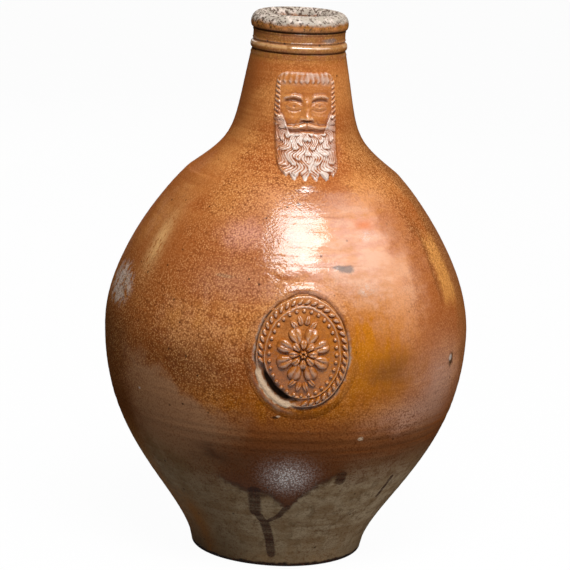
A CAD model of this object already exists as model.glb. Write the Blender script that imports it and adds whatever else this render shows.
# Salt-glazed stoneware jug: three thrown sections, a pulled strap handle, a moulded mask and a medallion
import math
from types import SimpleNamespace

import bmesh
import bpy
import numpy as np
from mathutils import Matrix, Vector


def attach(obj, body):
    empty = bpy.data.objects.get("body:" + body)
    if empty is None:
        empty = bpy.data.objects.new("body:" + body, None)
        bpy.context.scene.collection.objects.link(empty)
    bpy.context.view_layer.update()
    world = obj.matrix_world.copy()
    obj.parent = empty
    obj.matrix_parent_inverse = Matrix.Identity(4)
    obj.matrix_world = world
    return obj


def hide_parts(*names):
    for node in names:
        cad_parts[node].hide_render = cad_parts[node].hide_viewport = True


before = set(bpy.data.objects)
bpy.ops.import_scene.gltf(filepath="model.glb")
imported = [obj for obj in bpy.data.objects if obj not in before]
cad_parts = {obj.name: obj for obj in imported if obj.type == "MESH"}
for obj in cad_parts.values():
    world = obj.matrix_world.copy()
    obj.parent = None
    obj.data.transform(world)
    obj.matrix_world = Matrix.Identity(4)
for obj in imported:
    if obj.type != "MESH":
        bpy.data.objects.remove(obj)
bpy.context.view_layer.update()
MM = 0.001

# Sizes of the thrown wall in millimetres; a lean is in degrees from the vertical
BASE_D, FOOT_D, FOOT_H, FOOT_EDGE, FLOOR_T = 111.0, 114.4, 8.0, 1.2, 11.0
GIRTH_D, GIRTH_H = 234.0, 146.5
SHOULDER_D, SHOULDER_H = 132.6, 248.5
JUG_H, COLLAR_H, NECK_D = 350.0, 26.0, 60.4
FOOT_FLARE, SHOULDER_LEAN, NECK_TAPER = 19.5, 53.0, 11.5
WALL, GIRDLE_H = 7.0, 97.0
CORDON_H, CORDON_OUT, BAND_D = 5.0, 1.6, 58.4
LIP_D, LIP_H, LIP_CREST_D, LIP_UNDER = 62.0, 10.5, 50.0, 3.4
THROAT_D, THROAT_DROP, THROAT_LEN = 42.0, 5.0, 20.0
NECK_TOP = JUG_H - COLLAR_H

# Fullness of each curve of the wall, as handle lengths over the chord between its ends
FOOT_FULL, GIRTH_LOW_FULL = 0.233, 0.488
GIRTH_HIGH_FULL, SHOULDER_LOW_FULL = 0.402, 0.073
SHOULDER_HIGH_FULL, NECK_FULL = 0.462, 0.626

# Sizes of the strap handle
HANDLE_W, HANDLE_T, HANDLE_FURROW = 26.0, 12.5, 1.2
HANDLE_DROP, HANDLE_TAIL_DROP = 14.0, 6.0
HANDLE_LIFT, HANDLE_THROW, HANDLE_FALL, HANDLE_FOOT_LEAN = 30.0, 53.0, 46.0, 5.0
HANDLE_ROOT_SPREAD, HANDLE_SQUARENESS = 9.0, 2.5
TAIL_LEN, TAIL_W, TAIL_T = 26.0, 11.0, 2.0

# Sizes of the two moulded sprigs
MASK_W, MASK_H, MASK_DROP = 45.0, 66.0, 7.0
MASK_MID = NECK_TOP - MASK_DROP - MASK_H / 2
MEDALLION_W, MEDALLION_H, MEDALLION_T = 58.0, 69.0, 1.4
MEDALLION_MID, MEDALLION_ANGLE = GIRTH_H + 9.0, -5.0

# Camera: angles in degrees, and the width that the picture takes in at the jug's axis
CAMERA_AZIMUTH, CAMERA_ELEVATION, CAMERA_ROLL = -10.5, 12.46, 2.7
CAMERA_DISTANCE, VIEW_W, SENSOR = 1800.0, 368.4, 36.0
AIM_LEFT, AIM_BELOW = 1.7, 2.5


# Outline of the thrown wall: a point is (radius, height)
def heading(lean):
    return np.array([math.sin(math.radians(lean)), math.cos(math.radians(lean))])


def bezier(a, b, c, d, t):
    t = np.asarray(t)[..., None]
    return (1 - t) ** 3 * a + 3 * t * (1 - t) ** 2 * b + 3 * t ** 2 * (1 - t) * c + t ** 3 * d


def curve(start, lean_start, full_start, end, lean_end, full_end, steps=120):
    """Points of one stretch of the wall, without its first point."""
    start, end = np.array(start), np.array(end)
    chord = np.linalg.norm(end - start)
    leave = start + chord * full_start * heading(lean_start)
    arrive = end - chord * full_end * heading(lean_end)
    return bezier(start, leave, arrive, end, np.linspace(0, 1, steps))[1:]


def arc(centre, half_w, half_h, first, last, steps=14):
    """Points on an ellipse from one angle to another, in degrees."""
    a = np.radians(np.linspace(first, last, steps))
    return np.column_stack([centre[0] + half_w * np.cos(a), centre[1] + half_h * np.sin(a)])


FOOT_TOP = (FOOT_D / 2, FOOT_H)
GIRTH = (GIRTH_D / 2, GIRTH_H)
SHOULDER = (SHOULDER_D / 2, SHOULDER_H)
COLLAR_FOOT = (NECK_D / 2, NECK_TOP)
WALL_LINE = np.vstack([
    [FOOT_TOP],
    curve(FOOT_TOP, FOOT_FLARE, FOOT_FULL, GIRTH, 0, GIRTH_LOW_FULL),
    curve(GIRTH, 0, GIRTH_HIGH_FULL, SHOULDER, -SHOULDER_LEAN, SHOULDER_LOW_FULL),
    curve(SHOULDER, -SHOULDER_LEAN, SHOULDER_HIGH_FULL, COLLAR_FOOT, -NECK_TAPER, NECK_FULL)])
WALL_LEAN = np.arctan2(np.gradient(WALL_LINE[:, 0]), np.gradient(WALL_LINE[:, 1]))
INNER_LINE = WALL_LINE - WALL * np.column_stack([np.cos(WALL_LEAN), -np.sin(WALL_LEAN)])
INNER_LINE[:, 0] = np.maximum(INNER_LINE[:, 0], THROAT_D / 2)


def wall_radius(z):
    return np.interp(z, WALL_LINE[:, 1], WALL_LINE[:, 0])


def wall_lean(z):
    """Lean of the wall from the vertical at a height, in radians."""
    return np.interp(z, WALL_LINE[:, 1], WALL_LEAN)


def skin(turn, z, raised):
    """Points over the wall at an angle round from the front, a height, and a height above the skin."""
    lean, turn = wall_lean(z), np.radians(turn)
    radius = wall_radius(z) + raised * np.cos(lean)
    return np.column_stack([radius * np.sin(turn), -radius * np.cos(turn), z - raised * np.sin(lean)])


def wrapped(flat, centre_turn, centre_z):
    """Flat points (across, up, raised) laid on the skin round a centre."""
    z = centre_z + flat[:, 1]
    return skin(centre_turn + np.degrees(flat[:, 0] / wall_radius(z)), z, flat[:, 2])


def stretch(line, low, high):
    """The part of a line between two heights, with its ends exactly there."""
    ends = [[np.interp(z, line[:, 1], line[:, 0]), z] for z in (low, high)]
    middle = line[(line[:, 1] > low) & (line[:, 1] < high)]
    return np.vstack([ends[:1], middle, ends[1:]])


def spaced(line, pitch):
    """The same line with its points about one pitch apart."""
    run = np.concatenate([[0], np.cumsum(np.linalg.norm(np.diff(line, axis=0), axis=1))])
    even = np.linspace(0, run[-1], max(2, round(run[-1] / pitch) + 1))
    return np.column_stack([np.interp(even, run, line[:, 0]), np.interp(even, run, line[:, 1])])


# Soft shapes for relief, as heights over a flat pat
def hill(distance, width):
    return np.exp(-(distance / width) ** 2)


def step(low, high, value):
    t = np.clip((value - low) / (high - low), 0, 1)
    return t * t * (3 - 2 * t)


# Meshes; points that lie closer than the pole gap, in millimetres, are merged
POLE_GAP = 0.001


def plain_mesh(name, points, faces, material, marks=None):
    """A smooth mesh from points in millimetres, with closed poles and a named attribute for each mark."""
    mesh = bpy.data.meshes.new(name)
    mesh.from_pydata((np.asarray(points) * MM).tolist(), [], faces)
    mesh.materials.append(material)
    for mark, values in (marks or {}).items():
        mesh.attributes.new(mark, "FLOAT", "POINT").data.foreach_set("value", values.astype(np.float32))
    shape = bmesh.new()
    shape.from_mesh(mesh)
    bmesh.ops.remove_doubles(shape, verts=shape.verts, dist=POLE_GAP * MM)
    shape.to_mesh(mesh)
    shape.free()
    mesh.shade_smooth()
    return mesh


def placed(name, data):
    """A new object in the scene."""
    made = bpy.data.objects.new(name, data)
    bpy.context.scene.collection.objects.link(made)
    return made


def piece(name, mesh, node):
    """A finished piece at the origin that stands for one CAD node."""
    mesh.name = name
    made = placed(name, mesh)
    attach(made, "root")
    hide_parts(node)


def net(rows, columns, closed=False):
    """Quads between rows of points that are numbered row by row."""
    faces = []
    for row in range(rows - 1):
        for column in range(columns if closed else columns - 1):
            a = row * columns + column
            b = row * columns + (column + 1) % columns
            faces.append((a, b, b + columns, a + columns))
    return faces


class Value:
    """A node's output that takes part in sums: each operation on it adds a Math node to its tree."""

    def __init__(self, socket):
        self.socket = socket

    def node(self, kind, settings, sockets, output=0):
        """A new node in this value's tree, with its settings made first and then its sockets."""
        tree = self.socket.id_data
        new = tree.nodes.new(kind)
        for name, setting in settings.items():
            if name == "stops":
                set_stops(new.color_ramp, setting)
            else:
                setattr(new, name, setting)
        for name, value in sockets.items():
            if isinstance(value, Value):
                tree.links.new(value.socket, new.inputs[name])
            else:
                new.inputs[name].default_value = value
        return Value(new.outputs[output])

    def beside(self, output):
        """Another output of the node that this value comes from."""
        return Value(self.socket.node.outputs[output])

    def feed(self, socket):
        self.socket.id_data.links.new(self.socket, socket)

    def math(self, operation, first, second=0.0):
        return self.node("ShaderNodeMath", {"operation": operation}, {0: first, 1: second})

    def __add__(self, other):
        return self.math("ADD", self, other)

    __radd__ = __add__

    def __sub__(self, other):
        return self.math("SUBTRACT", self, other)

    def __rsub__(self, other):
        return self.math("SUBTRACT", other, self)

    def __mul__(self, other):
        return self.math("MULTIPLY", self, other)

    __rmul__ = __mul__

    def __truediv__(self, other):
        return self.math("DIVIDE", self, other)

    def __rtruediv__(self, other):
        return self.math("DIVIDE", other, self)

    def __abs__(self):
        return self.math("ABSOLUTE", self)

    def at_least(self, other):
        return self.math("MAXIMUM", self, other)

    def at_most(self, other):
        return self.math("MINIMUM", self, other)

    def over(self, limit):
        """True where this value is more than a limit."""
        return self.node("FunctionNodeCompare", {"operation": "GREATER_THAN"}, {0: self, 1: limit})


def set_stops(ramp, stops):
    """Stops of a colour ramp as (position, colour), the first two in the ramp's own elements."""
    while len(ramp.elements) < len(stops):
        ramp.elements.new(1.0)
    for element, (position, colour) in zip(ramp.elements, stops):
        element.position = position
        element.color = colour


# Geometry Nodes trees
def shape_tree(name, inputs):
    """A tree with geometry in and out, a material, and a named input for each size."""
    tree = bpy.data.node_groups.new(name, "GeometryNodeTree")
    tree.interface.new_socket("Geometry", in_out="OUTPUT", socket_type="NodeSocketGeometry")
    kinds = {"Geometry": "NodeSocketGeometry", "Material": "NodeSocketMaterial", **inputs}
    for label, kind in kinds.items():
        tree.interface.new_socket(label, in_out="INPUT", socket_type=kind)
    given = tree.nodes.new("NodeGroupInput")
    return tree, {label: Value(given.outputs[label]) for label in kinds}


def close_tree(tree, shape, material):
    """End a tree in real geometry with its material."""
    real = shape.node("GeometryNodeRealizeInstances", {}, {0: shape})
    done = shape.node("GeometryNodeSetMaterial", {}, {"Geometry": real, "Material": material})
    done.feed(tree.nodes.new("NodeGroupOutput").inputs[0])


def grown(tree, source, settings):
    """The plain mesh that a tree makes from a source mesh."""
    holder = placed(tree.name, source)
    modifier = holder.modifiers.new(tree.name, "NODES")
    modifier.node_group = tree
    for item in tree.interface.items_tree:
        if item.in_out == "INPUT" and item.name in settings:
            modifier[item.identifier] = settings[item.name]
    graph = bpy.context.evaluated_depsgraph_get()
    mesh = bpy.data.meshes.new_from_object(holder.evaluated_get(graph), depsgraph=graph)
    holder.modifiers.remove(modifier)
    bpy.data.objects.remove(holder)
    return mesh


NUMBER, COUNT = "NodeSocketFloat", "NodeSocketInt"

# How fast throwing marks grow with the distance from the axis, per metre, and how narrow a bead's crease is
AXIS_FADE, CREASE_SHARPNESS = 25.0, 30.0


def thrown_wall_tree():
    """Turns an outline round the throwing axis, with throwing rings and a slightly uneven wall."""
    tree, given = shape_tree("thrown_wall", {
        "Turns": COUNT, "Ring Pitch": NUMBER, "Ring Depth": NUMBER, "Sway Size": NUMBER, "Sway": NUMBER,
        "Sharp Angle": NUMBER})
    outline, turns = given["Geometry"], given["Turns"]
    rows = outline.node("GeometryNodeAttributeDomainSize", {"component": "MESH"}, {0: outline})
    grid = outline.node("GeometryNodeMeshGrid", {}, {"Vertices X": turns + 1, "Vertices Y": rows})
    index = outline.node("GeometryNodeInputIndex", {}, {})
    column = (index + 0.5) / rows
    column = column.math("FLOOR", column)
    where = outline.node("GeometryNodeInputPosition", {}, {})
    drawn = outline.node("GeometryNodeSampleIndex", {"data_type": "FLOAT_VECTOR"}, {
        "Geometry": outline, "Value": where, "Index": index - column * rows})
    radius = drawn.node("ShaderNodeSeparateXYZ", {}, {0: drawn})
    height = radius.beside("Z")
    angle = column * (2 * math.pi) / turns
    sine, cosine = angle.math("SINE", angle), angle.math("COSINE", angle)
    ideal = drawn.node("ShaderNodeCombineXYZ", {}, {"X": radius * sine, "Y": radius * cosine, "Z": height})
    sway = ideal.node("ShaderNodeTexNoise", {}, {
        "Vector": ideal, "Scale": 1.0 / given["Sway Size"], "Detail": 1.0})
    rings = height.node("ShaderNodeTexNoise", {"noise_dimensions": "1D"}, {
        "W": height / given["Ring Pitch"], "Scale": 1.0, "Detail": 2.0})
    uneven = (sway - 0.5) * given["Sway"] * 2.0 + (rings - 0.5) * given["Ring Depth"] * 2.0
    real = radius + uneven * (radius * AXIS_FADE).at_most(1.0)
    place = drawn.node("ShaderNodeCombineXYZ", {}, {"X": real * sine, "Y": real * cosine * -1.0, "Z": height})
    wall = grid.node("GeometryNodeSetPosition", {}, {"Geometry": grid, "Position": place})
    wall = wall.node("GeometryNodeMergeByDistance", {}, {"Geometry": wall, "Distance": POLE_GAP * MM})
    fold = wall.node("GeometryNodeInputMeshEdgeAngle", {}, {})
    wall = wall.node("GeometryNodeSetShadeSmooth", {"domain": "FACE"}, {"Geometry": wall})
    wall = wall.node("GeometryNodeSetShadeSmooth", {"domain": "EDGE"}, {
        "Geometry": wall, "Shade Smooth": given["Sharp Angle"].over(fold)})
    close_tree(tree, wall, given["Material"])
    return tree


def bead_ring_tree():
    """Beads set evenly round a flat oval, each turned from the oval's own direction and drawn to a point."""
    tree, given = shape_tree("bead_ring", {
        "Half Width": NUMBER, "Half Height": NUMBER, "Count": COUNT, "Start": NUMBER, "Bead Length": NUMBER,
        "Bead Width": NUMBER, "Bead Height": NUMBER, "Skew": NUMBER, "Taper": NUMBER, "Crease": NUMBER,
        "Gap Middle": NUMBER, "Gap Half": NUMBER, "Pole Share": NUMBER})
    source = given["Geometry"]
    circle = source.node("GeometryNodeCurvePrimitiveCircle", {}, {"Resolution": 256, "Radius": 1.0})
    start = source.node("ShaderNodeCombineXYZ", {}, {"Z": given["Start"]})
    half = source.node("ShaderNodeCombineXYZ", {}, {
        "X": given["Half Width"], "Y": given["Half Height"], "Z": 1.0})
    oval = source.node("GeometryNodeTransform", {}, {"Geometry": circle, "Rotation": start})
    oval = source.node("GeometryNodeTransform", {}, {"Geometry": oval, "Scale": half})
    even = source.node("GeometryNodeResampleCurve", {}, {"Curve": oval, "Count": given["Count"]})

    ball = source.node("GeometryNodeMeshUVSphere", {}, {"Segments": 20, "Rings": 12, "Radius": 1.0})
    where = source.node("GeometryNodeInputPosition", {}, {})
    along = where.node("ShaderNodeSeparateXYZ", {}, {0: where})
    across, up = along.beside("Y"), along.beside("Z")
    crease = across * across * -CREASE_SHARPNESS
    crease = up.at_least(0.0) * crease.math("EXPONENT", crease) * given["Crease"]
    formed = where.node("ShaderNodeCombineXYZ", {}, {
        "X": along * given["Bead Length"] * 0.5,
        "Y": across * (along * given["Taper"] + 1.0) * given["Bead Width"] * 0.5,
        "Z": (up - crease) * given["Bead Height"]})
    bead = source.node("GeometryNodeSetPosition", {}, {"Geometry": ball, "Position": formed})

    tangent = source.node("GeometryNodeInputTangent", {}, {})
    lined = source.node("FunctionNodeAlignRotationToVector", {"axis": "X"}, {"Vector": tangent})
    skew = source.node("FunctionNodeAxisAngleToRotation", {}, {"Axis": (0, 0, 1), "Angle": given["Skew"]})
    turned = source.node("FunctionNodeRotateRotation", {"rotation_space": "LOCAL"}, {
        "Rotation": lined, "Rotate By": skew})
    side = along / given["Half Width"]
    rise_share = across / given["Half Height"]
    far = abs(side.math("ARCTAN2", rise_share, side) - given["Gap Middle"])
    kept = far.node("FunctionNodeBooleanMath", {"operation": "AND"}, {
        0: far.over(given["Gap Half"]), 1: abs(rise_share).over(given["Pole Share"])})
    beads = source.node("GeometryNodeInstanceOnPoints", {}, {
        "Points": even, "Selection": kept, "Instance": bead, "Rotation": turned})
    beads = beads.node("GeometryNodeRealizeInstances", {}, {0: beads})
    beads = beads.node("GeometryNodeSetShadeSmooth", {"domain": "FACE"}, {"Geometry": beads})
    close_tree(tree, beads, given["Material"])
    return tree


# Shader helpers
def tint(red, green, blue):
    """Linear colour from sRGB parts of 0 to 255."""
    parts = [part / 255 for part in (red, green, blue)]
    return (*[p / 12.92 if p <= 0.04045 else ((p + 0.055) / 1.055) ** 2.4 for p in parts], 1.0)


GLAZE_IOR = 3.0


def glazed_clay(name):
    """A new material that mixes matt clay with glossy glaze: itself, both shaders, the mix, and the place.

    The place on the piece is in millimetres.
    """
    made = bpy.data.materials.new(name)
    made.use_nodes = True
    tree = made.node_tree
    clay, glaze = tree.nodes["Principled BSDF"], tree.nodes.new("ShaderNodeBsdfPrincipled")
    clay.inputs["Specular IOR Level"].default_value = 0.0
    glaze.inputs["IOR"].default_value = GLAZE_IOR
    coords = Value(tree.nodes.new("ShaderNodeTexCoord").outputs["Object"])
    place = coords.node("ShaderNodeVectorMath", {"operation": "SCALE"}, {0: coords, "Scale": 1 / MM})
    shaders = {1: Value(clay.outputs[0]), 2: Value(glaze.outputs[0])}
    both = coords.node("ShaderNodeMixShader", {}, shaders)
    both.feed(tree.nodes["Material Output"].inputs["Surface"])
    return made, (clay, glaze), both.socket.node, place


def around(place):
    """Angle round from the front in degrees, and height in millimetres."""
    x = place.node("ShaderNodeSeparateXYZ", {}, {0: place})
    turn = x.math("ARCTAN2", x, x.beside("Y") * -1) * (180 / math.pi)
    return turn, x.beside("Z")


def rise(value, low, high):
    """Smooth step from 0 at low to 1 at high; low may be the larger."""
    return value.node("ShaderNodeMapRange", {"interpolation_type": "SMOOTHSTEP"}, {
        "Value": value, "From Min": low, "From Max": high})


def within(value, low, high, soft):
    """1 between two values, with soft ends."""
    return rise(value, low - soft, low + soft) * rise(value, high + soft, high - soft)


def spot(*parts):
    """1 at the middle of a soft spot; each part is (value, middle, half width)."""
    offs = [(value - middle) / half for value, middle, half in parts]
    total = sum(off * off for off in offs)
    return total.math("EXPONENT", total * -1)


def noise(place, size, detail=2, roughness=0.5):
    return place.node("ShaderNodeTexNoise", {}, {
        "Vector": place, "Scale": 1 / size, "Detail": detail, "Roughness": roughness})


def cells(place, size):
    return place.node("ShaderNodeTexVoronoi", {}, {"Vector": place, "Scale": 1 / size})


def stretched(place, x, y, z):
    return place.node("ShaderNodeVectorMath", {"operation": "MULTIPLY"}, {0: place, 1: (x, y, z)})


def mark(place, label):
    """A named attribute of the piece."""
    return place.node("ShaderNodeAttribute", {"attribute_name": label}, {}, "Fac")


def mix(share, first, second):
    """Colour that goes from the first to the second."""
    sockets = {"Factor": share, 6: first, 7: second}
    return share.node("ShaderNodeMix", {"data_type": "RGBA", "clamp_factor": True}, sockets, 2)


def layered(colour, *layers):
    """The colour with layers laid over it one after another, each (share, colour)."""
    for share, shade in layers:
        colour = mix(share, colour, shade)
    return colour


def mix_value(share, first, second):
    """Number that goes from the first to the second."""
    return first + (second - first) * share


# Shares of a run's width at which its soft edge ends and starts
RUN_OUTSIDE, RUN_INSIDE = 0.62, 0.38


def run_of_wash(x, z, start, end, width, waver):
    """1 along a run of wash between two points, given as (across, height)."""
    dx, dz = end[0] - start[0], end[1] - start[1]
    share = ((x - start[0]) * dx + (z - start[1]) * dz) / (dx * dx + dz * dz)
    share = share.at_least(0).at_most(1)
    off_x, off_z = x - share * dx - start[0], z - share * dz - start[1]
    far = off_x * off_x + off_z * off_z
    far = far.math("SQRT", far) + waver
    return rise(far, width * RUN_OUTSIDE, width * RUN_INSIDE)


# Colours of the clay, the wash and the glaze
AMBER, RUST, BROWN, GOLD = tint(202, 132, 70), tint(166, 92, 42), tint(146, 90, 46), tint(150, 100, 44)
PEACH, PALE_PEACH, PINK = tint(224, 156, 110), tint(228, 176, 146), tint(214, 150, 126)
OCHRE, DARK_OCHRE = tint(194, 116, 24), tint(172, 98, 20)
STRAW, HONEY = tint(228, 178, 116), tint(214, 146, 74)
MAUVE, TAUPE, UMBER, PLUM = tint(196, 148, 124), tint(174, 129, 94), tint(116, 70, 38), tint(118, 72, 44)
OLIVE, STONE, MOSS = tint(160, 130, 94), tint(198, 174, 140), tint(120, 94, 62)
DARK_WASH, BLACK_BROWN, ORANGE = tint(62, 35, 24), tint(34, 22, 14), tint(210, 108, 44)
BUFF, CHALK, ASH, SMOKE = tint(230, 204, 174), tint(216, 200, 188), tint(176, 164, 150), tint(124, 106, 98)
DARK_SPECK, LIGHT_SPECK = tint(104, 52, 22), tint(240, 182, 118)

# Runs of iron wash on the low front: two ends as (degrees from the front, height), and a width; and the
# millimetres to a degree there
LOW_ARC = 1.2
FORK = (-16.5, 34)
RUNS = (((-20, 60), (-20.6, 43), 6.6), ((-20.6, 43), FORK, 4.6), ((-6.1, 48), (-10, 40), 3.4),
        ((-10, 40), FORK, 2.8), (FORK, (-14.4, 21.5), 6), ((-14.4, 21.5), (-13, 9.5), 6.4),
        ((13.1, 73), (13.1, 68), 5), ((39.6, 65), (38.6, 50), 2.2))

# Chips, nicks and smears of the glaze: (degrees from the front, height, half width, half height, colour)
BLEMISHES = (
    (10.8, 204.4, 5.4, 2.4, SMOKE), (7.4, 205.4, 4.2, 1.3, SMOKE), (53.5, 140.8, 3.6, 4.8, BLACK_BROWN),
    (52.9, 142.4, 2.2, 2.2, CHALK), (-33, 197.5, 7, 1.2, TAUPE), (-13, 199.5, 9, 2, RUST),
    (47, 138, 5, 1, MAUVE), (16.2, 99, 2, 1.4, BUFF), (-12.4, 114.3, 2.4, 1, BLACK_BROWN),
    (-11.6, 115.2, 1.6, 0.7, BUFF), (-6.9, 240, 1.5, 1, SMOKE), (1.4, 212, 0.9, 0.8, DARK_SPECK),
    (-9.3, 208.5, 0.9, 0.8, DARK_SPECK), (-62, 118, 1.2, 0.8, CHALK), (-43, 115.6, 0.9, 0.9, BLACK_BROWN),
    (-16, 46, 0.8, 0.8, BLACK_BROWN), (32, 335, 6.5, 1.6, SMOKE), (-7, 192.5, 8, 1.6, RUST))

# Soft patches on the left side: (degrees from the front, half width, height, half height, share, colour)
LEFT_PATCHES = (
    (-46, 22, 238, 13, 0.6, AMBER), (-55, 6, 234, 8, 1, RUST), (-30, 12, 194, 12, 0.3, MAUVE),
    (-42, 21, 142, 19, 0.65, DARK_SPECK), (-28, 10, 222, 8, 0.8, PINK), (-18, 12, 241, 9, 0.6, PEACH))

# Lower edge of the wash, as (degrees from the front, height)
WASH_EDGE = ((-180, 68), (-62, 80), (-33, 67), (-22, 58.5), (-13, 57), (-6.1, 46.5), (-1.5, 57.5),
             (5.4, 67), (12, 72.5), (40, 73), (180, 68))


def wash_height(turn):
    """Height of the wash's lower edge at an angle, from a ramp between its turning points."""
    stops = [((t + 180) / 360, (h / 100, h / 100, h / 100, 1.0)) for t, h in WASH_EDGE]
    ramp = turn.node("ShaderNodeValToRGB", {"stops": stops}, {0: (turn + 180) / 360})
    grey = ramp.node("ShaderNodeSeparateColor", {}, {0: ramp})
    return grey * 100


BUMP_DEPTH, BUMP_STRENGTH = 0.12, 0.8


def wall_field(place):
    """Where a point lies on the wall, and the noises and main zones that the layers of the glaze share."""
    turn, z = around(place)
    cloud = noise(place, 45, 3)
    patch = noise(place, 14, 4, 0.6)
    blotch = noise(place, 5, 3, 0.6)
    grain = noise(place, 0.7, 2, 0.6)
    peel = cells(place, 1.2) + (grain - 0.5) * 0.8
    strands = noise(stretched(place, 1, 1, 0.05), 1.6)
    lines = noise(stretched(place, 0.03, 0.03, 1), 2.4, 3)
    spotted = rise(blotch, 0.4, 0.6)
    ragged = (blotch - 0.5) * 0.8 + (grain - 0.5) * 0.5

    # Angles and heights with wandering edges, and the plain side that is turned away
    loose, wavy = turn + (patch - 0.5) * 20, z + (patch - 0.5) * 16
    back = rise(abs(turn), 96, 140)
    fore = 1 - back

    # The smooth front of the shoulder, the calm right side, the low belly, the taupe slant at its left, the
    # bare lower body with the edge of the wash, and the worn lip
    smooth_side = within(loose, -14, 40, 14) * within(wavy, 190, 238, 16)
    calm = within(loose, 6, 40, 12) * within(wavy, 120, 250, 16) * 0.7
    calm = calm + rise(loose, 34, 46) * rise(wavy, 212, 190) * fore * 0.45
    low = rise(wavy, 124, 96) * 0.7
    slant = wavy + loose * 0.68 + (cloud - 0.5) * 30
    taupe = rise(slant, 104, 90) * within(loose, -67, -28, 10) * rise(wavy, 66, 84)
    front = within(turn, -33, 14, 5)
    edge = z - wash_height(turn) + (patch - 0.5) * (22 - front * 17) + (blotch - 0.5) * 6
    bare = mix_value(front, rise(edge, 20, -18), rise(edge, 2, -2))
    worn = rise(z + (patch - 0.5) * 5 + (blotch - 0.5) * 6, 343.4, 346.6)
    return SimpleNamespace(
        place=place, turn=turn, z=z, loose=loose, wavy=wavy, back=back, fore=fore,
        cloud=cloud, patch=patch, blotch=blotch, grain=grain, peel=peel, strands=strands, lines=lines,
        spotted=spotted, ragged=ragged, smooth_side=smooth_side, calm=calm, low=low, taupe=taupe,
        front=front, edge=edge, bare=bare, worn=worn)


# Layers of the glaze's colour, from the first to the last; "at" is the wall's field
def left_wash(at, colour):
    """Broad zones of the wash, most of them on the left side."""
    colour = layered(
        colour,
        (rise(at.patch * 0.5 + at.cloud * 0.5, 0.5, 0.62) * within(at.wavy, 130, 246, 14) * 0.15, MAUVE),
        (rise(at.loose, -25, -85) * (0.6 - rise(at.z, 180, 215) * 0.3), BROWN),
        (rise(at.blotch, 0.5, 0.7) * 0.4, RUST))
    for middle, half_w, height, half_h, share, shade in LEFT_PATCHES:
        colour = mix(spot((at.loose, middle, half_w), (at.wavy, height, half_h)) * share, colour, shade)
    return colour


def smooth_front(at, colour):
    """Peach and pink on the smooth front of the shoulder, with salt, an orange spot and dragged lines."""
    veil = noise(stretched(at.place, 0.45, 0.45, 1), 7, 4, 0.65)
    torn_z = at.z + (at.patch - 0.5) * 4
    tone = layered(
        mix(rise(at.patch * 0.6 + at.lines * 0.4, 0.4, 0.6), PEACH, PINK),
        (rise(veil, 0.5, 0.62) * 0.8, PALE_PEACH),
        (rise(veil, 0.46, 0.34) * 0.7, AMBER))
    pale = spot((at.loose, 22, 18), (at.z, 200, 26)) * (0.3 + rise(veil, 0.42, 0.58) * 0.6)
    salt = spot((at.turn, 16.7, 3.6), (at.z, 192.5, 3.6)) + spot((at.turn, 22, 4), (at.z, 222, 2.6))
    drag = spot((torn_z, 233, 0.6)) + spot((torn_z, 205.8, 0.5))
    return layered(
        colour,
        (at.smooth_side * 0.85, tone),
        (pale, PALE_PEACH),
        (spot((at.turn, 22.5, 4.6), (torn_z, 228.5, 2.6)) * 0.8, ORANGE),
        (salt * rise(at.grain + at.blotch, 0.9, 1.15) * 0.8, CHALK),
        (drag * within(at.loose, -10, 14, 6) * 0.6, RUST),
        (spot((at.loose, 30, 7), (at.z, 186, 28)) * 0.7, PEACH))


def belly_and_neck(at, colour):
    """Ochre round the medallion, the browner right flank, and the neck with its collar."""
    falling = 0.55 + rise(noise(stretched(at.place, 1, 1, 0.4), 5, 3), 0.4, 0.6) * 0.45
    return layered(
        colour,
        (spot((at.loose, 15, 15), (at.wavy, 152, 30)) * falling * 1.4, OCHRE),
        (spot((at.loose, -4, 30), (at.wavy, 121, 11)) * falling * 1.3, DARK_OCHRE),
        (spot((at.loose, 24, 10), (at.wavy, 142, 11)) * 0.65, UMBER),
        (rise(at.loose + at.z * 0.22, 77, 86) * within(at.z, 150, 240, 14) * 0.6, RUST),
        (rise(at.loose, 58, 66) * 0.8, BROWN),
        (spot((at.loose, 48, 13), (at.z, 126, 26)) * 0.9, MAUVE),
        (rise(at.turn, 24, 46) * within(at.z, 252, 284, 10) * 0.5, BROWN),
        (rise(at.turn, 18, 34) * within(at.z, 292, 318, 8) * 0.6, AMBER),
        (rise(at.z, 318, 326) * 0.85, mix(at.spotted, GOLD, BROWN)))


def low_wash(at, colour):
    """Darker wash low on the belly, and down the far right."""
    streaks = within(at.z, 84, 108, 6) * rise(at.lines, 0.48, 0.66) * rise(at.loose, -30, 0)
    return layered(
        colour,
        (rise(at.loose, -58, -76) * within(at.wavy, 90, 162, 12) * 0.6, UMBER),
        (at.low, UMBER),
        (rise(at.wavy, 104, 84) * rise(at.loose, -58, -22) * 0.85, PLUM),
        (at.taupe * 0.85, TAUPE),
        (spot((at.loose, 36, 15), (at.wavy, 111, 10)) * 0.8, MAUVE),
        (streaks * 0.5, mix(rise(at.loose, 0, 20), UMBER, RUST)),
        (spot((at.loose, -34, 9), (at.wavy, 84, 9)) * 0.72, DARK_WASH),
        (rise(at.turn, 64, 78) * within(at.z, 170, 324, 14) * 0.6, UMBER))


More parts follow.
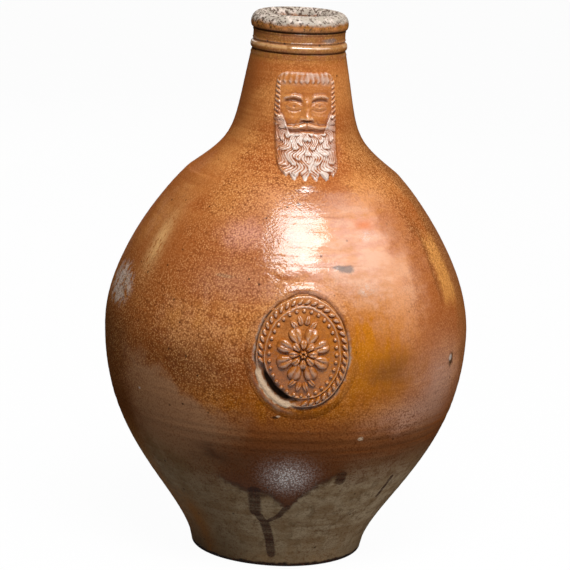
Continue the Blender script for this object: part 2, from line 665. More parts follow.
def flank_marks(at, colour):
    """Pale streaks down both flanks, the grey kiln patch at far left, and single blemishes."""
    left_streak = spot((at.turn, -68, 4.2), (at.z, 208, 17)) * rise(at.strands, 0.25, 0.5)
    right_streak = within(at.turn + (at.blotch - 0.5) * 6, 53, 63, 2) * within(at.wavy, 176, 215, 6)
    kiln = spot((at.turn, -82, 9), (at.z, 177, 12)) * rise(at.blotch + (at.grain - 0.5) * 0.4, 0.3, 0.6)
    colour = layered(
        colour,
        (left_streak * 0.8, STRAW),
        (spot((at.loose, 51.5, 2.5)) * within(at.z, 180, 226, 8) * 0.5, UMBER),
        (right_streak * (0.65 + rise(at.strands, 0.35, 0.6) * 0.35), HONEY),
        (rise(kiln, 0.1, 0.5) * 0.85, mix(rise(at.grain + at.patch * 0.5, 0.7, 0.95), CHALK, OLIVE)))
    for middle, height, half_w, half_h, shade in BLEMISHES:
        nick = spot((at.turn, middle, half_w / math.radians(wall_radius(height))), (at.z, height, half_h))
        colour = mix(rise(nick + at.ragged, 0.2, 0.75) * 0.85, colour, shade)
    return colour


def bare_body(at, colour):
    """The lower body with little wash, the wash's ragged edge and its runs."""
    rusty = spot((at.turn, -60, 8)) * rise(at.z + (at.blotch - 0.5) * 20, 52, 30)
    rusty = rusty + rise(at.turn, -64, -76) * 0.7
    clay = layered(
        mix(rise(at.patch * 0.7 + at.lines * 0.3, 0.38, 0.62), OLIVE, STONE),
        (rise(at.blotch, 0.48, 0.68) * 0.6, MOSS),
        (rusty * at.fore, OCHRE),
        (rise(at.turn, 45, 62) * 0.6 + rise(at.turn, -18, -46) * 0.6, MOSS),
        (rise(at.z, 22, 4) * rise(at.patch, 0.35, 0.6) * 0.6, MOSS),
        (rise(at.z + (at.blotch - 0.5) * 4, 3.2, 1.8), BLACK_BROWN))
    wash = spot((at.edge, 0, 2.4)) * at.front * 0.75
    for start, end, width in RUNS:
        ends = [(t * LOW_ARC, h) for t, h in (start, end)]
        wash = wash.at_least(run_of_wash(at.turn * LOW_ARC, at.z, *ends, width, at.ragged * 2.6))
    thick = 0.65 + rise(at.lines * 0.5 + at.grain * 0.5, 0.6, 0.42) * 0.3
    return layered(colour, (at.bare, clay), (wash * thick, DARK_WASH))


def peel_strength(at, smooth_mould):
    """How much the orange peel shows: strong on the washed left side and faint on the smooth side."""
    strength = (1 - at.smooth_side * 0.75) * (1 - at.calm) * (1 - at.bare * 0.4) * (1 - smooth_mould)
    strength = strength * (1 - rise(at.z, 254, 290) * 0.5)
    strength = strength * (0.65 + rise(at.cloud + at.patch, 0.7, 1.2) * 0.35)
    upper_left = rise(at.loose, -48, -60) * rise(at.wavy, 186, 206) * at.fore
    return strength * (1 - upper_left * 0.6) * (1 - at.taupe * 0.5)


def mottled(at, colour, strength):
    """Orange peel mottle and dark specks."""
    return layered(
        colour,
        (rise(at.peel, 0.4, 0.95) * strength * 0.8, DARK_SPECK),
        (rise(at.peel, 0.44, 0.1) * strength * rise(at.z, 92, 138) * 0.55, LIGHT_SPECK),
        (rise(cells(at.place, 12), 0.075, 0.05) * (0.7 - at.calm * 0.6), BLACK_BROWN))


def worn_lip(at, colour):
    """The worn lip, with dark wash left in the grooves of the collar."""
    far_side = rise(abs(at.turn - 20), 30, 95)
    flecks = rise(at.z, 339.5, 343) * rise(noise(at.place, 1.8, 3, 0.7) + far_side * 0.05, 0.54, 0.6)
    return layered(
        colour,
        (at.worn, mix(rise(at.blotch, 0.34, 0.54), CHALK, ASH)),
        (flecks * 0.85, DARK_WASH),
        (within(at.z, 340.8, 343.6, 0.6) * at.spotted * 0.6, AMBER),
        (within(at.z, 338.9, 340.4, 0.6) * 0.85, BLACK_BROWN),
        (within(at.z, 326, 327.2, 0.4) * 0.7, DARK_WASH),
        (within(at.z, 329.6, 331.6, 0.6) * (0.1 + at.spotted * 0.5), STRAW))


def wall_gloss(at):
    """Gloss: most on the shoulder's front and the cordon, little on the flanks, and a wet spot low down."""
    turn, z = at.turn, at.z
    front_gloss = 0.025 + within(turn, -44, 36, 18) * 0.15 + spot((turn, -7, 14)) * 0.16
    ridges = within(z, 324.2, 325.4, 0.4) + within(z, 333, 334.2, 0.4)
    gloss = rise(z, 172, 205) * front_gloss * (1 - rise(z, 252, 272) * 0.6)
    gloss = gloss + within(z, 329.7, 331.6, 0.4) * (0.7 + at.spotted * 0.3)
    gloss = gloss + ridges * rise(at.patch, 0.4, 0.6) * 0.4 + rise(z, 80, 60) * 0.025
    gloss = gloss + spot((turn, -3, 5), (z, 248.6, 2.2)) * 0.5 + spot((turn, -6, 8), (z, 193, 4)) * 0.3
    wet = spot((turn, -7, 7.5), (z, 72, 10)) * (0.3 + rise(at.peel, 0.62, 0.22) * 0.9)
    return gloss.at_least(wet) * (1 - at.worn * 0.5)


def wall_bumps(at, strength):
    """Height of the glaze's fine relief, in bump depths."""
    bumps = at.peel * strength * -1 + at.grain * 0.4 + at.lines * (0.15 + at.smooth_side * 1.6)
    bumps = bumps + (at.blotch * 2 + noise(at.place, 16, 0) * 12) * at.smooth_side
    return bumps + spot((at.turn, -3, 6), (at.z, 250.5, 2.6)) * 13


def sprig_finish(at, colour, gloss, rough, bumps):
    """A sprig's own colour, gloss, roughness and bumps, from its marks, over those of the wall."""
    ridge, torn, dark, glossy = (mark(at.place, label) for label in ("ridge", "torn", "dark", "gloss"))
    pat = rise(glossy, 0.6, 0.9) * within(at.z, 112, 192, 8)
    milk = mark(at.place, "milky") * rise(at.patch * 0.4 + at.blotch * 0.6 + ridge * 0.5, 0.36, 0.6)
    colour = layered(
        colour,
        (rise(ridge, 0.05, -0.35) * 0.85, DARK_SPECK),
        (rise(ridge, 0.1, 0.5) * 0.4, LIGHT_SPECK),
        (pat * 0.45, DARK_OCHRE),
        (pat * rise(at.blotch + at.grain * 0.5, 0.68, 0.9) * 0.3, DARK_SPECK),
        (milk * 0.9, CHALK),
        (mark(at.place, "ashy") * at.spotted * 0.7, ASH),
        (mark(at.place, "bank") * 0.7, mix(rise(at.blotch, 0.42, 0.58), TAUPE, RUST)),
        (torn, mix(rise(at.grain, 0.3, 0.7) * 0.3 + 0.2, BUFF, TAUPE)),
        (dark, BLACK_BROWN))
    shine = 0.15 + rise(ridge, 0, 0.35) * (0.25 + rise(at.z, 150, 175) * 0.3)
    gloss = mix_value(glossy, gloss, shine) * (1 - torn.at_least(dark))
    rough = mix_value(glossy, rough, 0.11) + torn * 0.3
    return colour, gloss, rough, bumps + noise(at.place, 2.2) * glossy * 4.5


def jug_glaze(name, sprig=False):
    """The whole wall: iron wash under salt glaze above, and thinly glazed grey clay below.

    On a sprig the glaze is also thin and pale on ridges, dark in hollows and milky on the beard.
    """
    made, shaders, cover, place = glazed_clay(name)
    at = wall_field(place)
    colour = mix(rise(at.cloud * 0.75 + at.lines * 0.25, 0.44, 0.68), RUST, AMBER)
    plain = mix(at.low + 0.2, colour, UMBER)
    for lay in (left_wash, smooth_front, belly_and_neck, low_wash):
        colour = lay(at, colour)
    colour = mix(at.back, colour, plain)
    colour = bare_body(at, flank_marks(at, colour))
    smooth_mould = rise(mark(place, "gloss"), 0.6, 0.9) * 0.5 if sprig else 0
    strength = peel_strength(at, smooth_mould)
    colour = worn_lip(at, mottled(at, colour, strength))
    gloss, bumps = wall_gloss(at), wall_bumps(at, strength)
    rough = 0.13 + at.bare * 0.2 + at.worn * 0.25 + (at.patch - 0.5) * 0.1
    if sprig:
        colour, gloss, rough, bumps = sprig_finish(at, colour, gloss, rough, bumps)
    gloss.feed(cover.inputs[0])
    bump = bumps.node("ShaderNodeBump", {}, {
        "Height": bumps, "Distance": BUMP_DEPTH * MM, "Strength": BUMP_STRENGTH})
    for shader in shaders:
        colour.feed(shader.inputs["Base Color"])
        rough.feed(shader.inputs["Roughness"])
        bump.feed(shader.inputs["Normal"])
    return made


# Thrown sections
OUTER_PITCH, INNER_PITCH, FLOOR_PITCH, COLLAR_PITCH = 0.9, 4.0, 8.0, 0.3
RIDGES = ((92, 0.12, 1.8), (99.5, 0.2, 2), (105, 0.1, 2), (324.4, 0.5, 0.6), (333.2, 0.4, 0.5),
          (338.4, 0.4, 0.5))
THROWING = {"Turns": 384, "Ring Pitch": 3.4 * MM, "Ring Depth": 0.1 * MM, "Sway Size": 70 * MM,
            "Sway": 0.5 * MM, "Sharp Angle": math.radians(40)}


def thrown(line, tree, material):
    """The mesh of one thrown section from its closed outline, walked up the outside and down the inside."""
    points = [(r * MM, 0.0, z * MM) for r, z in line]
    outline = bpy.data.meshes.new("outline")
    outline.from_pydata(points, [(i, i + 1) for i in range(len(points) - 1)], [])
    return grown(tree, outline, {**THROWING, "Material": material})


def worked(line):
    """An outline with the ridges and grooves left by the potter's tools, each (height, out, half width)."""
    line = line.copy()
    for height, out, width in RIDGES:
        line[:, 0] += out * hill(line[:, 1] - height, width)
    return line


def base_line():
    inner = stretch(INNER_LINE, FLOOR_T, GIRDLE_H)
    foot = arc((BASE_D / 2 - FOOT_EDGE, FOOT_EDGE), FOOT_EDGE, FOOT_EDGE, -90, 0, 6)
    outer = np.vstack([foot[-1:], stretch(WALL_LINE, FOOT_H, GIRDLE_H)])
    return np.vstack([
        spaced(np.array([[0.0, 0.0], foot[0]]), FLOOR_PITCH), foot[1:-1],
        worked(spaced(outer, OUTER_PITCH)), spaced(inner[::-1], INNER_PITCH),
        spaced(np.array([inner[0], [0.0, FLOOR_T]]), FLOOR_PITCH)[1:]])


def shoulder_line():
    outer = worked(spaced(stretch(WALL_LINE, GIRDLE_H, SHOULDER_H), OUTER_PITCH))
    inner = spaced(stretch(INNER_LINE, GIRDLE_H, SHOULDER_H)[::-1], INNER_PITCH)
    return np.vstack([outer, inner, outer[:1]])


def neck_line():
    lip_foot = JUG_H - LIP_H
    lip_middle = lip_foot + LIP_UNDER
    throat_top = JUG_H - THROAT_DROP
    crest, throat = LIP_CREST_D / 2, THROAT_D / 2
    cordon = arc((BAND_D / 2, NECK_TOP + CORDON_H), CORDON_OUT, CORDON_H / 2, -90, 90)
    under = arc((BAND_D / 2, lip_middle), (LIP_D - BAND_D) / 2, LIP_UNDER, -90, 0)
    over = arc((crest, lip_middle), LIP_D / 2 - crest, JUG_H - lip_middle, 0, 90)
    into = arc((crest, throat_top), crest - throat, THROAT_DROP, 90, 180)
    outer = spaced(stretch(WALL_LINE, SHOULDER_H, NECK_TOP), OUTER_PITCH)
    inner = stretch(INNER_LINE, SHOULDER_H, throat_top - THROAT_LEN)
    band = np.vstack([cordon[-1:], under[:1]])
    collar = worked(np.vstack([outer, *[spaced(part, COLLAR_PITCH)[1:] for part in (cordon, band)]]))
    lip = [spaced(part, COLLAR_PITCH)[1:] for part in (under, over, into)]
    down = np.vstack([into[-1:], inner[::-1]])
    return np.vstack([collar, *lip, spaced(down, INNER_PITCH)[1:], outer[:1]])


# Pulled strap handle: shares from 0 to 1 run along the arch, and from 1 to 2 down the tail
STRAP_SIDES, ARCH_START, ARCH_STEPS, TAIL_STEPS = 72, -0.03, 130, 40
ROOT_SHARE, TIP_SHARE, TAIL_BEND, FURROW_W = 0.09, 0.15, 1.4, 0.35
PULL_DEPTH, PULL_WAVES, PULL_DRIFT, DRIFT_RATE = 0.16, 2.1, 0.3, 0.05
THUMB_DEPTH, THUMB_AT, THUMB_LEN, THUMB_W = 1.6, 1.3, 0.16, 5.0


def strap_handle(material):
    """A strap swept from inside the neck over the arch and down to a thumbed tail on the shoulder."""
    root_z, knee_z = NECK_TOP - HANDLE_DROP, SHOULDER_H - HANDLE_TAIL_DROP

    def on_skin(z, raised):
        return skin(180.0, np.array([z]), raised)[0, 1:]

    root = on_skin(root_z, 0.0)
    knee = on_skin(knee_z, HANDLE_T / 2)
    tip_z = knee_z - TAIL_LEN * math.cos(wall_lean(knee_z))
    tip = on_skin(tip_z, TAIL_T / 2)
    lift = math.radians(HANDLE_LIFT)
    swing = root + HANDLE_THROW * np.array([math.cos(lift), math.sin(lift)])
    knee_way, tip_way = -heading(-HANDLE_FOOT_LEAN), -heading(math.degrees(wall_lean(tip_z)))
    over, down = np.linspace(ARCH_START, 1, ARCH_STEPS), np.linspace(0, 1, TAIL_STEPS)[1:]
    arch = bezier(root, swing, knee - HANDLE_FALL * knee_way, knee, over)
    tail = bezier(knee, knee + knee_way * TAIL_LEN / 3, tip - tip_way * TAIL_LEN / 3, tip, down)
    middle = np.vstack([arch, tail])
    share = np.concatenate([over, 1 + down])

    along = np.gradient(middle, axis=0)
    along /= np.linalg.norm(along, axis=1)[:, None]
    out = np.column_stack([-along[:, 1], along[:, 0]])
    spread = HANDLE_ROOT_SPREAD * np.exp(-np.maximum(share, 0) / ROOT_SHARE)
    late = np.maximum(share - 1, 0)
    end = np.sqrt(np.clip((2.0 - share) / TIP_SHARE, 0, 1))
    width = (HANDLE_W + spread + (TAIL_W - HANDLE_W) * late ** TAIL_BEND) * end
    thick = (HANDLE_T + spread / 2 + (TAIL_T - HANDLE_T) * late) * end

    def squared(wave):
        return np.sign(wave) * np.abs(wave) ** (2 / HANDLE_SQUARENESS)

    a = np.linspace(0, 2 * np.pi, STRAP_SIDES, endpoint=False)
    outer = np.sin(a) > 0
    furrow = HANDLE_FURROW * hill(np.cos(a), FURROW_W) * outer
    points = []
    for ring in range(len(middle)):
        across = squared(np.cos(a)) * width[ring] / 2
        drift = PULL_DRIFT * np.sin(ring * DRIFT_RATE)
        pulled = PULL_DEPTH * np.cos(across * PULL_WAVES + drift) * outer * end[ring]
        thumb = THUMB_DEPTH * hill(share[ring] - THUMB_AT, THUMB_LEN) * hill(across, THUMB_W) * outer
        raised = squared(np.sin(a)) * thick[ring] / 2 - furrow * (1 - late[ring]) * end[ring] + pulled - thumb
        points.append(np.column_stack([-across, middle[ring] + raised[:, None] * out[ring]]))
    rows = len(middle)
    caps = [tuple(range(STRAP_SIDES))[::-1], tuple(range((rows - 1) * STRAP_SIDES, rows * STRAP_SIDES))]
    return plain_mesh("strap_handle", np.vstack(points), net(rows, STRAP_SIDES, closed=True) + caps, material)


# Moulded sprigs
SPRIG_COLUMNS, SPRIG_ROWS, BACK_COLUMNS, BACK_DEPTH = 220, 250, 9, -2.2


def softened(heights, passes=14):
    """Heights averaged over their neighbours, again and again."""
    for _ in range(passes):
        padded = np.pad(heights, 1, mode="edge")
        heights = (padded[:-2, 1:-1] + padded[2:, 1:-1] + padded[1:-1, :-2] + padded[1:-1, 2:]) / 4
    return heights


def sprig(half_w, half_h, relief, marks):
    """Flat points, faces and marks of a moulded pat: a fine front sheet, and a plain back below the skin.

    The mark "relief" says where ridges and hollows take their own colours.
    """
    rows, columns, backs = SPRIG_ROWS, SPRIG_COLUMNS, BACK_COLUMNS
    up = half_h * np.sin(np.linspace(-math.pi / 2, math.pi / 2, rows))
    y = np.repeat(up[:, None], columns, axis=1)
    x = half_w(y) * np.linspace(-1, 1, columns)
    heights = relief(x, y)
    values = marks(x, y)
    values["ridge"] = (heights - softened(heights)) * values.pop("relief")

    inner = np.linspace(0, columns - 1, backs + 2).round().astype(int)[1:-1]
    front = np.dstack([x, y, heights]).reshape(-1, 3)
    back = np.dstack([x[:, inner], y[:, inner], np.full((rows, backs), BACK_DEPTH)]).reshape(-1, 3)
    faces = net(rows, columns)
    across = [[row * columns, *range(len(front) + row * backs, len(front) + (row + 1) * backs),
               (row + 1) * columns - 1] for row in range(rows)]
    for low, high in zip(across, across[1:]):
        faces += [(low[k], high[k], high[k + 1], low[k + 1]) for k in range(backs + 1)]
    values = {label: np.append(value, np.zeros(len(back))) for label, value in values.items()}
    return np.vstack([front, back]), faces, values


def mask_half_width(y):
    v = y / (MASK_H / 2)
    top = np.clip(1 - np.abs(v) ** 12, 0, 1) ** 0.4 * (1 - 0.08 * np.clip(v, 0, 1))
    low = np.clip(1 - np.abs(v) ** 7, 0, 1) ** 0.5
    return MASK_W / 2 * np.where(v > 0, top, low)


# Face on the mask, in thirds from the hairline to the chin
BROW_Y, NOSE_Y, MOUTH_Y = 16.0, 2.0, -4.3
FACE_THIRD = BROW_Y - NOSE_Y
EYE_X, EYE_Y = 7.9, 10.4
LOCK_TOP, LOCK_SPREAD, LOCK_LEN = 14.0, 0.15, 8.5


def eyes(x, y):
    side = np.abs(x)
    across, up = (side - EYE_X) / 4.4, y - EYE_Y
    socket = -0.9 * hill(np.hypot((side - EYE_X) / 6.0, up / 4.4), 0.85)
    almond = np.clip(1 - across ** 2, 0, 1)
    upper, lower = 1.9 * almond, -1.35 * almond
    gape = step(-0.2, 0.3, np.minimum(upper - up, up - lower)) * step(1.0, 0.9, np.abs(across))
    ball = np.sqrt(np.clip(1.02 - across ** 2 * 0.8 - (up / 3.0) ** 2, 0, 1))
    along = step(1.3, 0.85, np.abs(across))
    lids = 0.85 * hill(up - upper - 0.5, 0.6) * along + 0.55 * hill(up - lower + 0.5, 0.55) * along
    pupil = -0.5 * hill(np.hypot(side - EYE_X, up - 0.2), 0.7)
    pouch = 0.35 * hill(up + 3.7 - 0.06 * (side - EYE_X) ** 2, 0.8) * step(5.5, 3.5, np.abs(side - EYE_X))
    return socket + 1.1 * ball * gape + lids + pupil + pouch


def brows(x, y):
    side = np.abs(x)
    arch = BROW_Y + 1.0 - 0.04 * (side - EYE_X - 0.6) ** 2
    span = step(2.0, 4.0, side) * step(15.4, 12.0, side)
    hairs = 0.18 * np.cos((side + 1.4 * y) * 2 * np.pi / 1.7)
    return span * ((1.35 + hairs) * hill(y - arch, 1.2) - 0.7 * hill(y - arch + 2.4, 0.8))


def nose(x, y):
    side = np.abs(x)
    down = (BROW_Y - y) / FACE_THIRD
    slope = np.clip(down, 0, 1)
    bridge = hill(x, 1.5 + 1.3 * slope) * step(-0.1, 0.25, down) * step(1.06, 0.96, down)
    ball = 0.9 * hill(np.hypot(x, (y - NOSE_Y - 1.6) * 0.9), 2.1)
    wings = 1.0 * hill(np.hypot(side - 3.1, y - NOSE_Y - 1.3), 1.35)
    nostrils = -0.5 * hill(np.hypot(side - 1.9, y - NOSE_Y + 0.35), 0.7)
    return bridge * (1.3 + 1.6 * slope) + ball + wings + nostrils


def cheeks(x, y):
    side = np.abs(x)
    fold = 4.6 + 0.6 * (NOSE_Y + 2 - y)
    crease = -0.3 * hill(side - fold, 0.8) * step(NOSE_Y + 4, NOSE_Y + 1, y) * step(-4, -1, y)
    return 0.75 * hill(np.hypot((side - 9.6) / 5.2, (y - 3.4) / 4.0), 1.0) + crease


def locks(x, y):
    """Overlapping locks that fan out from under the nose, each with a few fine strands."""
    far, way = np.hypot(x, y - LOCK_TOP), np.arctan2(x, LOCK_TOP - y)
    way = way + 0.05 * np.sin(far * 2 * np.pi / 10.0 + 1.5 * np.sign(x))
    number = np.floor(way / LOCK_SPREAD + 0.5)
    across = way / LOCK_SPREAD - number
    run = far / LOCK_LEN + 0.37 * number + 0.9 * across ** 2
    along = run - np.floor(run)
    crown = np.sqrt(np.clip(1 - (1.9 * across) ** 2, 0, 1))
    strand = np.cos(across * 6 * np.pi + 2.0 * along)
    return (0.35 + 1.1 * along * step(1.0, 0.9, along)) * (0.35 + 0.65 * crown) + 0.22 * strand * crown


def beard_cover(x, y):
    side = np.abs(x)
    edge = np.maximum(-5.8, 6.0 - 13.0 * step(15.8, 9.0, side))
    return step(0.8, -1.4, y - edge) * step(20.2, 18.6, side)


def beard(x, y):
    return beard_cover(x, y) * (0.5 + 1.2 * locks(x, y))


def moustache(x, y):
    side = np.abs(x)
    droop = NOSE_Y - 2.6 - 0.42 * side + 0.024 * side ** 2
    comb = 0.28 * np.cos((y - droop) * 2 * np.pi / 1.3 + 0.5 * side)
    wing = hill(y - droop, 1.8 - 0.06 * side) * step(14.0, 11.0, side)
    return wing * (1.9 + comb) - 0.7 * hill(x, 0.55) * hill(y - NOSE_Y + 2.2, 1.8)


def mouth(x, y):
    side = np.abs(x)
    gap = -0.75 * hill(y - MOUTH_Y - 0.015 * x ** 2, 0.55) * step(5.2, 3.6, side)
    lip = 0.9 * hill(y - MOUTH_Y + 1.4 - 0.02 * x ** 2, 0.85) * step(4.6, 2.6, side)
    return gap + lip


def hair(x, y):
    """A fringe along the top, and slanted rungs down both sides."""
    side = np.abs(x)
    fringe = step(24.6, 26.4, y + 0.6 * np.cos(x * 2 * np.pi / 3.3)) * step(17.5, 15.0, side)
    comb = 0.75 + 0.35 * np.cos((x + 0.2 * (y - 28) * np.tanh(x)) * 2 * np.pi / 3.3)
    rungs = step(15.8, 16.8, side) * step(1.2, 2.2, mask_half_width(y) - side)
    rungs = rungs * step(-2, 4, y) * step(29.5, 25, y)
    return fringe * comb + rungs * (0.6 + 0.45 * np.cos((y - 0.6 * side) * 2 * np.pi / 3.0))


def mask_relief(x, y):
    side = np.abs(x)
    inside = mask_half_width(y) - side
    rolled = 0.9 * hill(inside - 0.9, 0.5) * step(-27, -20, y) * step(32, 27, y)
    dome = np.clip(1 - (x / 19.0) ** 2, 0, 1) ** 0.7 * step(-31, -12, y) * step(34, 22, y)
    features = hair(x, y) + brows(x, y) + eyes(x, y) + nose(x, y) + cheeks(x, y)
    features = features + beard(x, y) + moustache(x, y) + mouth(x, y)
    lobes = 1.4 * (1 + np.cos(np.arctan2(x, LOCK_TOP - y) * 2 * np.pi / LOCK_SPREAD)) * step(-20, -26, y)
    edge = step(0.0, 2.6, np.minimum(inside, MASK_H / 2 - np.abs(y) - lobes))
    return (0.4 + rolled + 1.3 * dome + features * 0.8) * edge - 0.9 * (1 - edge)


def mask_marks(x, y):
    """The whole mask has relief and gloss, and the beard and the fringe are milky."""
    milky = beard_cover(x, y) * step(21.0, 9.0, np.abs(x)) + 0.5 * step(22.0, 27.0, y)
    return {"relief": np.ones_like(x), "milky": milky, "gloss": np.ones_like(x)}


def face_mask(material):
    points, faces, marks = sprig(mask_half_width, MASK_H / 2, mask_relief, mask_marks)
    return plain_mesh("face_mask", wrapped(points, 0.0, MASK_MID), faces, material, marks)


# Medallion: shares of the oval's half width, and angles round it in degrees
CREVICE, RIM, ROPE_SHARE, FILLET, BANK, SKIRT = 1.0, 0.965, 0.885, 0.79, 1.07, 1.34
SPLIT_ANGLE, SPLIT_HALF, SPLIT_SHARE = 228.0, 44.0, 0.845


def oval_field(x, y):
    """Share of the way from the middle to the wandering crevice, angle in radians, and 1 along the split."""
    across, up = x / (MEDALLION_W / 2), y / (MEDALLION_H / 2)
    angle = np.arctan2(up, across) % (2 * np.pi)
    wander = 0.010 * np.sin(3 * angle + 0.7) + 0.005 * np.sin(7 * angle) + 0.003 * np.sin(17 * angle)
    window = step(1.0, 0.25, np.abs(np.degrees(angle) - SPLIT_ANGLE) / SPLIT_HALF)
    return np.hypot(across, up) + wander, angle, window


def split_dark(share, window):
    return window * hill(share - SPLIT_SHARE, 0.02 + 0.045 * window)


def medallion_dark(share, angle, window):
    """1 in the split and, with breaks, in the crevice."""
    broken = 0.6 + 0.4 * np.sin(11 * angle + 2.0 * np.sin(4 * angle)) * np.sin(3 * angle + 1.0)
    crevice = hill(share - CREVICE, 0.014) * broken * step(0.25, 0.0, window)
    return np.clip(np.maximum(crevice, split_dark(share, window) * 1.6), 0, 1)


def split_torn(share, angle, window):
    """1 on the bare torn clay outside the split, which is widest at its left end and ragged."""
    ragged = 0.010 * np.sin(29 * angle) + 0.007 * np.sin(47 * angle + 1.0)
    left_end = np.cos(angle - math.radians(SPLIT_ANGLE - SPLIT_HALF))
    edge = 0.985 + 0.05 * window * (1 + 0.6 * left_end) + ragged
    return step(0.0, 0.5, window) * step(0.905, 0.93, share + ragged) * step(edge + 0.01, edge - 0.01, share)


def medallion_marks(x, y):
    """Relief and gloss of the oval, dark hollows, torn clay, grey salt in the crevice, the split's bank."""
    share, angle, window = oval_field(x, y)
    sides = np.cos(angle - math.radians(170)) ** 4 * step(0.25, 0.0, window)
    banks = 0.5 * step(1.3, 1.15, share) * step(0.2, 0.8, np.sin(angle)) + window * hill(share - 1.1, 0.04)
    return {
        "relief": step(1.04, 0.99, share), "torn": split_torn(share, angle, window),
        "dark": medallion_dark(share, angle, window), "ashy": hill(share - CREVICE - 0.02, 0.03) * sides,
        "bank": window * hill(share - 1.11, 0.06),
        "gloss": np.maximum(step(1.05, 1.0, share), np.minimum(banks, 1.0))}


def medallion_relief(x, y):
    share, angle, window = oval_field(x, y)
    pat = MEDALLION_T * step(CREVICE, RIM, share) + 0.4 * hill(share - RIM + 0.015, 0.018)
    pat = pat + 0.9 * hill(share - FILLET, 0.018)
    slope_w = np.where(share < BANK, 0.05, 0.12)
    bank = (1.3 + 0.4 * np.sin(angle + 0.4) + 0.15 * np.sin(5 * angle)) * hill(share - BANK, slope_w)
    opened = step(0.0, 0.5, window) * step(0.8, 0.84, share) * step(1.07, 1.03, share)
    whole = pat + bank
    whole = whole + (0.3 + 0.8 * step(0.88, 1.04, share) - whole) * opened
    hollow = 2.4 * split_dark(share, window) + 0.9 * medallion_dark(share, angle, window)
    return np.maximum(whole - hollow, 0.06) - 1.7 * step(1.2, SKIRT - 0.01, share)


# Rings of beads on the medallion: half sizes, count, first angle, bead, skew, taper and crease. A gap of
# angles has no beads, nor has what lies nearer the middle than the pole share of the half height
ROPE = {"Half Width": MEDALLION_W / 2 * ROPE_SHARE, "Half Height": MEDALLION_H / 2 * ROPE_SHARE, "Count": 42,
        "Bead Length": 5.2, "Bead Width": 2.6, "Bead Height": 1.9, "Skew": 38.0,
        "Gap Middle": SPLIT_ANGLE - 360, "Gap Half": SPLIT_HALF * 0.9}
PEARLS = {"Half Width": 20.4, "Half Height": 25.4, "Count": 32, "Bead Length": 2.6, "Bead Width": 2.6,
          "Bead Height": 1.5}
LEAVES = {"Half Width": 11.0, "Half Height": 20.5, "Count": 22, "Bead Length": 6.6, "Bead Width": 3.6,
          "Bead Height": 1.7, "Skew": 90.0, "Taper": 0.35, "Crease": 0.5, "Pole Share": 0.66}
OUTER_PETALS = {"Half Width": 11.4, "Half Height": 11.4, "Count": 8, "Start": 22.5, "Bead Length": 11.4,
                "Bead Width": 8.2, "Bead Height": 2.6, "Skew": 90.0, "Taper": -0.4, "Crease": 0.5}
INNER_PETALS = {"Half Width": 5.8, "Half Height": 5.8, "Count": 8, "Bead Length": 7.0, "Bead Width": 4.6,
                "Bead Height": 2.9, "Skew": 90.0, "Taper": -0.4, "Crease": 0.35}
BUTTON = {"Half Width": 1.4, "Half Height": 1.4, "Count": 6, "Bead Length": 2.2, "Bead Width": 2.2,
          "Bead Height": 3.4}
RING_DEFAULTS = {"Start": 0.0, "Skew": 0.0, "Taper": 0.0, "Crease": 0.0, "Gap Middle": 0.0, "Gap Half": -1.0,
                 "Pole Share": -1.0}
DEGREES = ("Start", "Skew", "Gap Middle", "Gap Half")
LENGTHS = ("Half Width", "Half Height", "Bead Length", "Bead Width", "Bead Height")


def bead_ring(tree, ring, material):
    """Flat points and faces of one ring of beads on the pat."""
    settings = {**RING_DEFAULTS, **ring, "Material": material}
    settings.update({label: math.radians(settings[label]) for label in DEGREES})
    settings.update({label: settings[label] * MM for label in LENGTHS})
    mesh = grown(tree, bpy.data.meshes.new("bead_seed"), settings)
    points = np.empty(len(mesh.vertices) * 3)
    mesh.vertices.foreach_get("co", points)
    points = points.reshape(-1, 3) / MM + np.array([0.0, 0.0, MEDALLION_T])
    return points, [tuple(face.vertices) for face in mesh.polygons]


def medallion(tree, material):
    half_w, half_h = MEDALLION_W / 2 * SKIRT, MEDALLION_H / 2 * SKIRT

    def oval_half_width(y):
        return half_w * np.sqrt(np.clip(1 - (y / half_h) ** 2, 0, 1))

    points, faces, marks = sprig(oval_half_width, half_h, medallion_relief, medallion_marks)
    for ring in (ROPE, PEARLS, LEAVES, OUTER_PETALS, INNER_PETALS, BUTTON):
        beads, bead_faces = bead_ring(tree, ring, material)
        ridge = (beads[:, 2] - MEDALLION_T) / ring["Bead Height"] - 0.5
        faces += [tuple(v + len(points) for v in face) for face in bead_faces]
        points = np.vstack([points, beads])
        none, own = np.zeros(len(beads)), {"ridge": ridge, "gloss": np.ones(len(beads))}
        marks = {label: np.append(value, own.get(label, none)) for label, value in marks.items()}
    return plain_mesh("medallion", wrapped(points, MEDALLION_ANGLE, MEDALLION_MID), faces, material, marks)


def build_jug():
    wall_glaze, low_glaze = jug_glaze("brown_salt_glaze"), jug_glaze("bare_stoneware")
    sprigs = jug_glaze("sprig_glaze", sprig=True)
    lathe, beads = thrown_wall_tree(), bead_ring_tree()
    piece("vessel_base", thrown(base_line(), lathe, low_glaze), "base_section")
    piece("vessel_shoulder", thrown(shoulder_line(), lathe, wall_glaze), "shoulder_section")
    piece("vessel_neck", thrown(neck_line(), lathe, wall_glaze), "neck")
    piece("strap_handle", strap_handle(wall_glaze), "handle")
    piece("bearded_mask", face_mask(sprigs), "face_mask")
    piece("oval_medallion", medallion(beads, sprigs), "medallion")


# Studio
def in_view(right, back, up):
    """A place in millimetres given by the camera's own sides: right of it, away from it, and up."""
    return Matrix.Rotation(math.radians(CAMERA_AZIMUTH), 3, "Z") @ Vector((right, back, up)) * MM


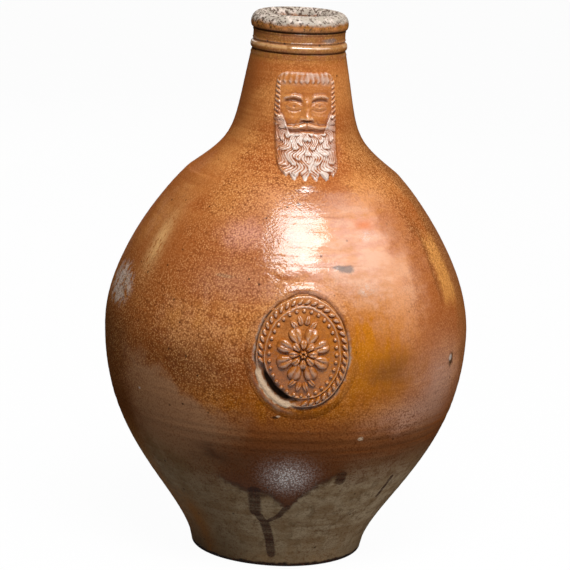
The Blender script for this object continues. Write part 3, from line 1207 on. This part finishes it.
# Shares of a light's size that lie over each other, and the lights: (name, place, target, size, brightness)
LIGHT_SHARES = (0.7, 0.85, 1.0)
LIGHTS = (("key", (94, -742, 1275), (0, -70, 220), (880, 560), 22.5),
          ("overhead_right", (900, -480, 1200), (0, 0, 220), (1400, 1300), 4.5),
          ("behind", (-250, 1500, 900), (0, 0, 180), (1200, 900), 4.0))
WORLD_STRENGTH = 0.1

# Floor: half its width in metres, and its grey as it lights the jug and as it is seen
FLOOR_HALF, FLOOR_ROUGHNESS, FLOOR_GLOW = 12.0, 0.9, 0.97
FLOOR_LIT, FLOOR_SEEN = (0.22, 0.22, 0.22, 1.0), (0.85, 0.85, 0.85, 1.0)
WHITE = (1.0, 1.0, 1.0, 1.0)


def soft_box(name, place, target, size, brightness):
    """A round soft light, brighter towards its middle."""
    for share in LIGHT_SHARES:
        light = bpy.data.lights.new(name, "AREA")
        light.shape = "ELLIPSE"
        light.size, light.size_y = size[0] * share * MM, size[1] * share * MM
        light.energy = brightness / len(LIGHT_SHARES) * math.pi ** 2 / 4 * light.size * light.size_y
        holder = placed(name, light)
        holder.location = in_view(*place)
        holder.rotation_euler = (in_view(*target) - holder.location).to_track_quat("-Z", "Y").to_euler()
        holder.visible_camera = False


def studio():
    scene = bpy.context.scene
    scene.view_settings.view_transform = "Standard"
    world = bpy.data.worlds.new("studio")
    world.use_nodes = True
    world.node_tree.nodes["Background"].inputs["Color"].default_value = WHITE
    world.node_tree.nodes["Background"].inputs["Strength"].default_value = WORLD_STRENGTH
    scene.world = world
    for light in LIGHTS:
        soft_box(*light)

    white = bpy.data.materials.new("white_floor")
    white.use_nodes = True
    tree = white.node_tree
    shader = tree.nodes["Principled BSDF"]
    shader.inputs["Roughness"].default_value = FLOOR_ROUGHNESS
    rays = Value(tree.nodes.new("ShaderNodeLightPath").outputs["Is Camera Ray"])
    seen = (rays + rays.beside("Is Glossy Ray") + rays.beside("Is Transmission Ray")).at_most(1.0)
    glow = rays.node("ShaderNodeEmission", {}, {"Color": WHITE, "Strength": 1.0})
    mix(seen, FLOOR_LIT, FLOOR_SEEN).feed(shader.inputs["Base Color"])
    both = rays.node("ShaderNodeMixShader", {}, {0: seen * FLOOR_GLOW, 1: Value(shader.outputs[0]), 2: glow})
    both.feed(tree.nodes["Material Output"].inputs["Surface"])
    mesh = bpy.data.meshes.new("floor")
    corners = [(x * FLOOR_HALF, y * FLOOR_HALF, 0) for x, y in ((-1, -1), (1, -1), (1, 1), (-1, 1))]
    mesh.from_pydata(corners, [], [(0, 1, 2, 3)])
    mesh.materials.append(white)
    floor = placed("floor", mesh)


def place_camera():
    azimuth, elevation = math.radians(CAMERA_AZIMUTH), math.radians(CAMERA_ELEVATION)
    lens = bpy.data.cameras.new("camera")
    lens.sensor_width = SENSOR
    lens.lens = SENSOR * CAMERA_DISTANCE / VIEW_W
    camera = placed("camera", lens)
    turned = Matrix.Rotation(azimuth, 4, "Z") @ Matrix.Rotation(math.pi / 2 - elevation, 4, "X")
    seat = turned @ Vector((-AIM_LEFT, -AIM_BELOW, CAMERA_DISTANCE))
    level = Matrix.Translation((seat + Vector((0, 0, JUG_H / 2))) * MM)
    camera.matrix_world = level @ turned @ Matrix.Rotation(math.radians(CAMERA_ROLL), 4, "Z")
    bpy.context.scene.camera = camera


place_camera()
studio()
build_jug()
